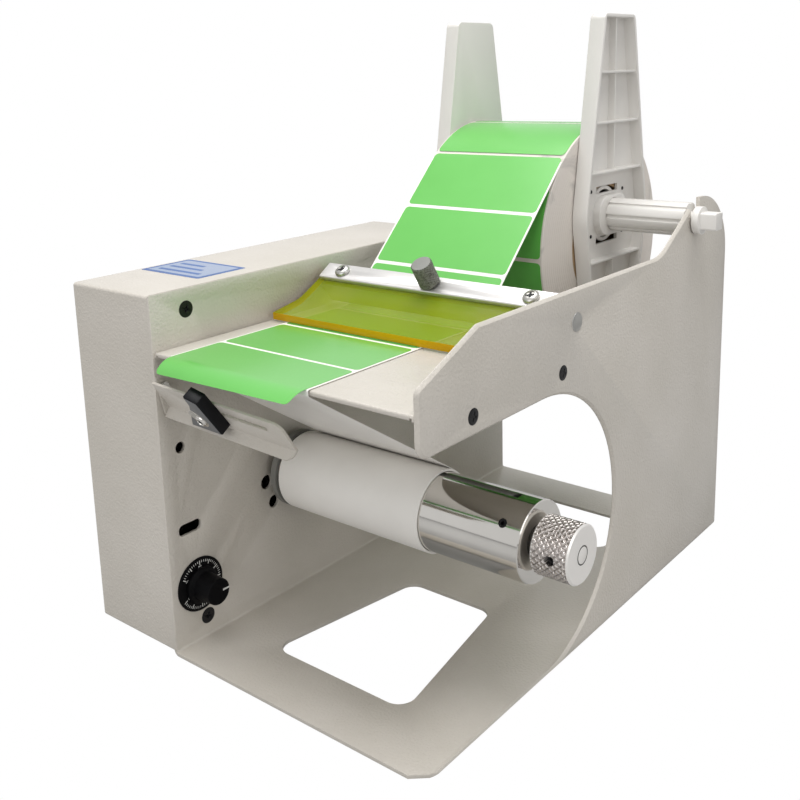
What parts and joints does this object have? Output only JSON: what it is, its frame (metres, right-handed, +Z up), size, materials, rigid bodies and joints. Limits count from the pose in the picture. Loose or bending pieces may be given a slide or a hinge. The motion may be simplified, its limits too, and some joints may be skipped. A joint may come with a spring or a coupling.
{
  "type": "label dispenser",
  "caption": "Bench label dispenser: bent sheet chassis with drive box, label reel on open seats, peel table with press bar, driven take-up roller and speed knob.",
  "frame": {"origin": "middle of the footprint's bounding box, on the surface that the rubber feet stand on", "axes": "+Z up, +X towards the take-up knob's free end, +Y from the peel edge towards the label reel"},
  "size_m": [0.2832, 0.3876, 0.3665],
  "materials": {
    "powder_coat": "fine-textured warm light-grey powder coat",
    "machined_steel": "machined",
    "chrome": "polished",
    "black_screw": "black oxide",
    "zinc_screw": "zinc plated",
    "aluminium": "anodised",
    "white_plastic": "smooth moulded",
    "grey_plastic": "satin moulded",
    "black_plastic": "satin",
    "amber_rubber": "translucent soft sheet",
    "foot_rubber": "matt",
    "liner_paper": "glazed backing paper",
    "label_paper": "bright green face",
    "card": "spiral wound",
    "board": "lacquered",
    "brass": "plain"
  },
  "bodies": {
    "frame": {"board_parts": "black_plastic", "board_posts": "brass", "bracket_screws": "zinc_screw", "chassis": "powder_coat", "control_board": "board", "cover_pillars": "machined_steel", "cover_screws": "zinc_screw", "cross_shaft": "machined_steel", "drive_motor": "machined_steel", "gearbox": "aluminium", "inlet_nut": "zinc_screw", "liner_web": "liner_paper", "motor_plate": "machined_steel", "motor_standoffs": "machined_steel", "peel_table": "powder_coat", "peeled_label": "label_paper", "pillar_screws": "black_screw", "pot_nut": "zinc_screw", "power_inlet": "black_plastic", "rubber_feet": "foot_rubber", "sensor_bracket": "powder_coat", "side_cover": "powder_coat", "speed_dial": "black_plastic", "speed_pot": "machined_steel", "switch_housing": "black_plastic", "table_screws": "black_screw", "takeup_bush": "brass"},
    "press_group": {"press_beam": "aluminium", "press_bar": "aluminium", "press_sheet": "amber_rubber", "bar_screws": "chrome"},
    "thumb_screw": {"thumb_screw": "aluminium"},
    "sensor": {"sensor_body": "black_plastic", "sensor_screw": "zinc_screw"},
    "takeup": {"takeup_shaft": "machined_steel", "takeup_flange": "grey_plastic", "takeup_core": "grey_plastic", "wound_liner": "liner_paper", "drive_shaft": "machined_steel", "drive_coupling": "aluminium"},
    "clip": {"takeup_clip": "chrome", "clip_ring": "chrome", "clip_stem": "machined_steel", "clip_screw": "black_screw", "pull_knob": "aluminium", "knob_set_screw": "black_screw"},
    "reel": {"reel_shaft": "white_plastic", "reel_flange_left": "white_plastic"},
    "outer_flange": {"reel_flange_right": "white_plastic"},
    "roll": {"label_roll": "label_paper", "roll_core": "card"},
    "speed_knob": {"speed_knob": "black_plastic", "pot_shaft": "machined_steel"},
    "rocker": {"switch_rocker": "black_plastic"}
  },
  "joints": [
    {"name": "press_lift", "type": "hinge", "parent": "frame", "child": "press_group", "pos_m": [0.02295, -0.04025, 0.1999], "axis": [-1, 0, 0], "range_deg": [0, 60]},
    {"name": "thumb_screw_turn", "type": "hinge", "parent": "press_group", "child": "thumb_screw", "pos_m": [0.02295, -0.05191, 0.21856], "axis": [0, -0.5299, 0.848], "range_deg": [0, 360]},
    {"name": "sensor_slide", "type": "slide", "parent": "frame", "child": "sensor", "axis": [0.9992, 0, -0.0401], "range_m": [-0.01, 0.038]},
    {"name": "takeup_spin", "type": "hinge", "parent": "frame", "child": "takeup", "pos_m": [0.02295, -0.07835, 0.088], "axis": [1, 0, 0], "continuous": true},
    {"name": "clip_pull", "type": "slide", "parent": "takeup", "child": "clip", "axis": [1, 0, 0], "range_m": [0, 0.165]},
    {"name": "reel_spin", "type": "hinge", "parent": "frame", "child": "reel", "pos_m": [0.02295, 0.11215, 0.235], "axis": [1, 0, 0], "continuous": true},
    {"name": "flange_slide", "type": "slide", "parent": "reel", "child": "outer_flange", "axis": [1, 0, 0], "range_m": [0, 0.03]},
    {"name": "roll_spin", "type": "hinge", "parent": "frame", "child": "roll", "pos_m": [-0.00105, 0.11215, 0.2163], "axis": [1, 0, 0], "continuous": true},
    {"name": "speed_knob_turn", "type": "hinge", "parent": "frame", "child": "speed_knob", "pos_m": [-0.05905, -0.15915, 0.0403], "axis": [1, 0, 0], "range_deg": [-150, 150]},
    {"name": "rocker_tilt", "type": "hinge", "parent": "frame", "child": "rocker", "pos_m": [-0.10505, 0.08755, 0.081], "axis": [1, 0, 0], "range_deg": [-12, 12]}
  ]
}
